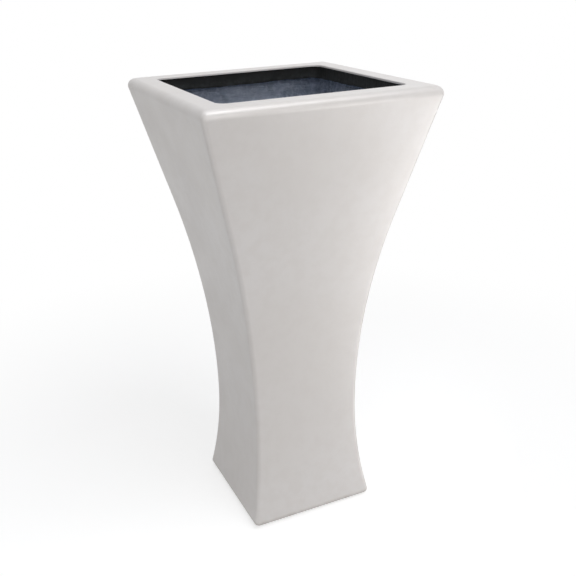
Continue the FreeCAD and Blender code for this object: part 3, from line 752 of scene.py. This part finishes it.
def floor_finish():
    """Matt and a little glow near the planter; far from it the part seen directly is plain white."""
    material = bpy.data.materials.new("pale floor")
    material.use_nodes = True
    tree = material.node_tree
    tree.nodes.clear()
    output = add(tree, "ShaderNodeOutputMaterial")
    matt = add(tree, "ShaderNodeBsdfDiffuse")
    matt.inputs["Color"].default_value = FLOOR_GREY
    glow = add(tree, "ShaderNodeEmission")
    glow.inputs["Color"].default_value = (1, 1, 1, 1)
    tree.links.new(join_values(tree, "MULTIPLY", seen_directly(tree), FLOOR_GLOW), glow.inputs["Strength"])
    both = add(tree, "ShaderNodeAddShader")
    tree.links.new(matt.outputs[0], both.inputs[0])
    tree.links.new(glow.outputs[0], both.inputs[1])
    white = add(tree, "ShaderNodeEmission")
    white.inputs["Color"].default_value = (1, 1, 1, 1)
    distance = add(tree, "ShaderNodeVectorMath", operation="LENGTH")
    tree.links.new(place_on(tree), distance.inputs[0])
    away = spread(tree, distance.outputs["Value"], FADE_FROM, FADE_TO)
    far = join_values(tree, "MULTIPLY", away, seen_directly(tree))
    fade = add(tree, "ShaderNodeMixShader")
    tree.links.new(far, fade.inputs[0])
    tree.links.new(both.outputs[0], fade.inputs[1])
    tree.links.new(white.outputs[0], fade.inputs[2])
    tree.links.new(fade.outputs[0], output.inputs["Surface"])
    return material


def make_floor():
    """One large level square at height 0."""
    half = FLOOR_SIZE / 2
    corners = np.array([[-half, -half, 0], [half, -half, 0], [half, half, 0], [-half, half, 0]])
    mesh = bpy.data.meshes.new("floor")
    mesh.from_pydata(corners.tolist(), [], [[0, 1, 2, 3]])
    floor = bpy.data.objects.new("floor", mesh)
    bpy.context.scene.collection.objects.link(floor)
    mesh.materials.append(floor_finish())


def light_world(strength):
    """An even white room: plain white where it is seen directly, and as strong as asked for light."""
    world = bpy.data.worlds.new("white room")
    world.use_nodes = True
    tree = world.node_tree
    tree.nodes.clear()
    output = add(tree, "ShaderNodeOutputWorld")
    light = add(tree, "ShaderNodeBackground")
    light.inputs["Color"].default_value = (1, 1, 1, 1)
    tree.links.new(spread(tree, seen_directly(tree), 0, 1, strength, 1.0), light.inputs["Strength"])
    tree.links.new(light.outputs[0], output.inputs["Surface"])
    bpy.context.scene.world = world


make_floor()
light_world(ROOM_LIGHT)
print("floor", FLOOR_SIZE, "m, room light", ROOM_LIGHT)

# %% [markdown]
# The photograph was lit by big soft sources: the wide face brightens towards
# its right, the narrow face is calmer, and the flat rim catches cool light
# from above. Large area lamps do that at a level where a colour comes out
# about as it is written, and three small ones stand near: one low at the left
# for the upright edge, and two at the right for the soft brightening there.

# %% Lamps


def soft_lamp(name, place, target, wide, tall, watts, colour=(1, 1, 1)):
    """A flat lamp, wide by tall in metres, that looks at a point."""
    data = bpy.data.lights.new(name, "AREA")
    data.shape, data.size, data.size_y = "RECTANGLE", wide, tall
    data.energy, data.color = watts, colour
    lamp = bpy.data.objects.new(name, data)
    bpy.context.scene.collection.objects.link(lamp)
    lamp.visible_camera = False
    way = Vector(target) - Vector(place)
    lamp.matrix_world = Matrix.Translation(place) @ way.to_track_quat("-Z", "Y").to_matrix().to_4x4()
    return lamp


soft_lamp("front", (0.4, -2.6, 1.5), (0, 0, 0.6), 1.0, 1.0, 7.6, (1.0, 0.995, 0.985))
soft_lamp("front left", (-1.6, -2.2, 1.5), (0, 0, 0.6), 1.2, 1.2, 9.5)
soft_lamp("low left", (-0.95, -0.75, 0.20), (-0.1, -0.1, 0.5), 0.6, 0.3, 1.0)
soft_lamp("near right", (0.42, -0.36, 0.40), (0.1, -0.12, 0.42), 0.14, 0.8, 0.95, (1.0, 0.995, 0.99))
soft_lamp("upper right", (0.26, -0.62, 0.74), (0.09, -0.19, 0.82), 0.24, 0.24, 0.42)
soft_lamp("overhead", (-0.2, 0.3, 2.9), (0, 0, 0.6), 1.8, 1.8, 12, (0.93, 0.96, 1.0))
soft_lamp("overhead front", (0.5, -1.0, 2.9), (0, 0, 0.7), 1.2, 1.2, 19, (0.95, 0.97, 1.0))
soft_lamp("behind right", (1.6, 1.8, 2.4), (0, 0, 0.6), 1.6, 1.6, 3)
soft_lamp("behind left", (-2.3, 1.5, 1.6), (0, 0, 0.5), 1.6, 1.6, 1.2)
watts = [lamp.data.energy for lamp in bpy.data.objects if lamp.type == "LIGHT"]
print(len(watts), "lamps,", round(sum(watts), 2), "W in all")

# %% [markdown]
# The Standard view shows each colour as it was worked out, with no film curve
# over it, so the numbers in the finishes can be compared with a photograph.

# %% Colours come out as written
bpy.context.scene.view_settings.view_transform = "Standard"
print("view", bpy.context.scene.view_settings.view_transform)
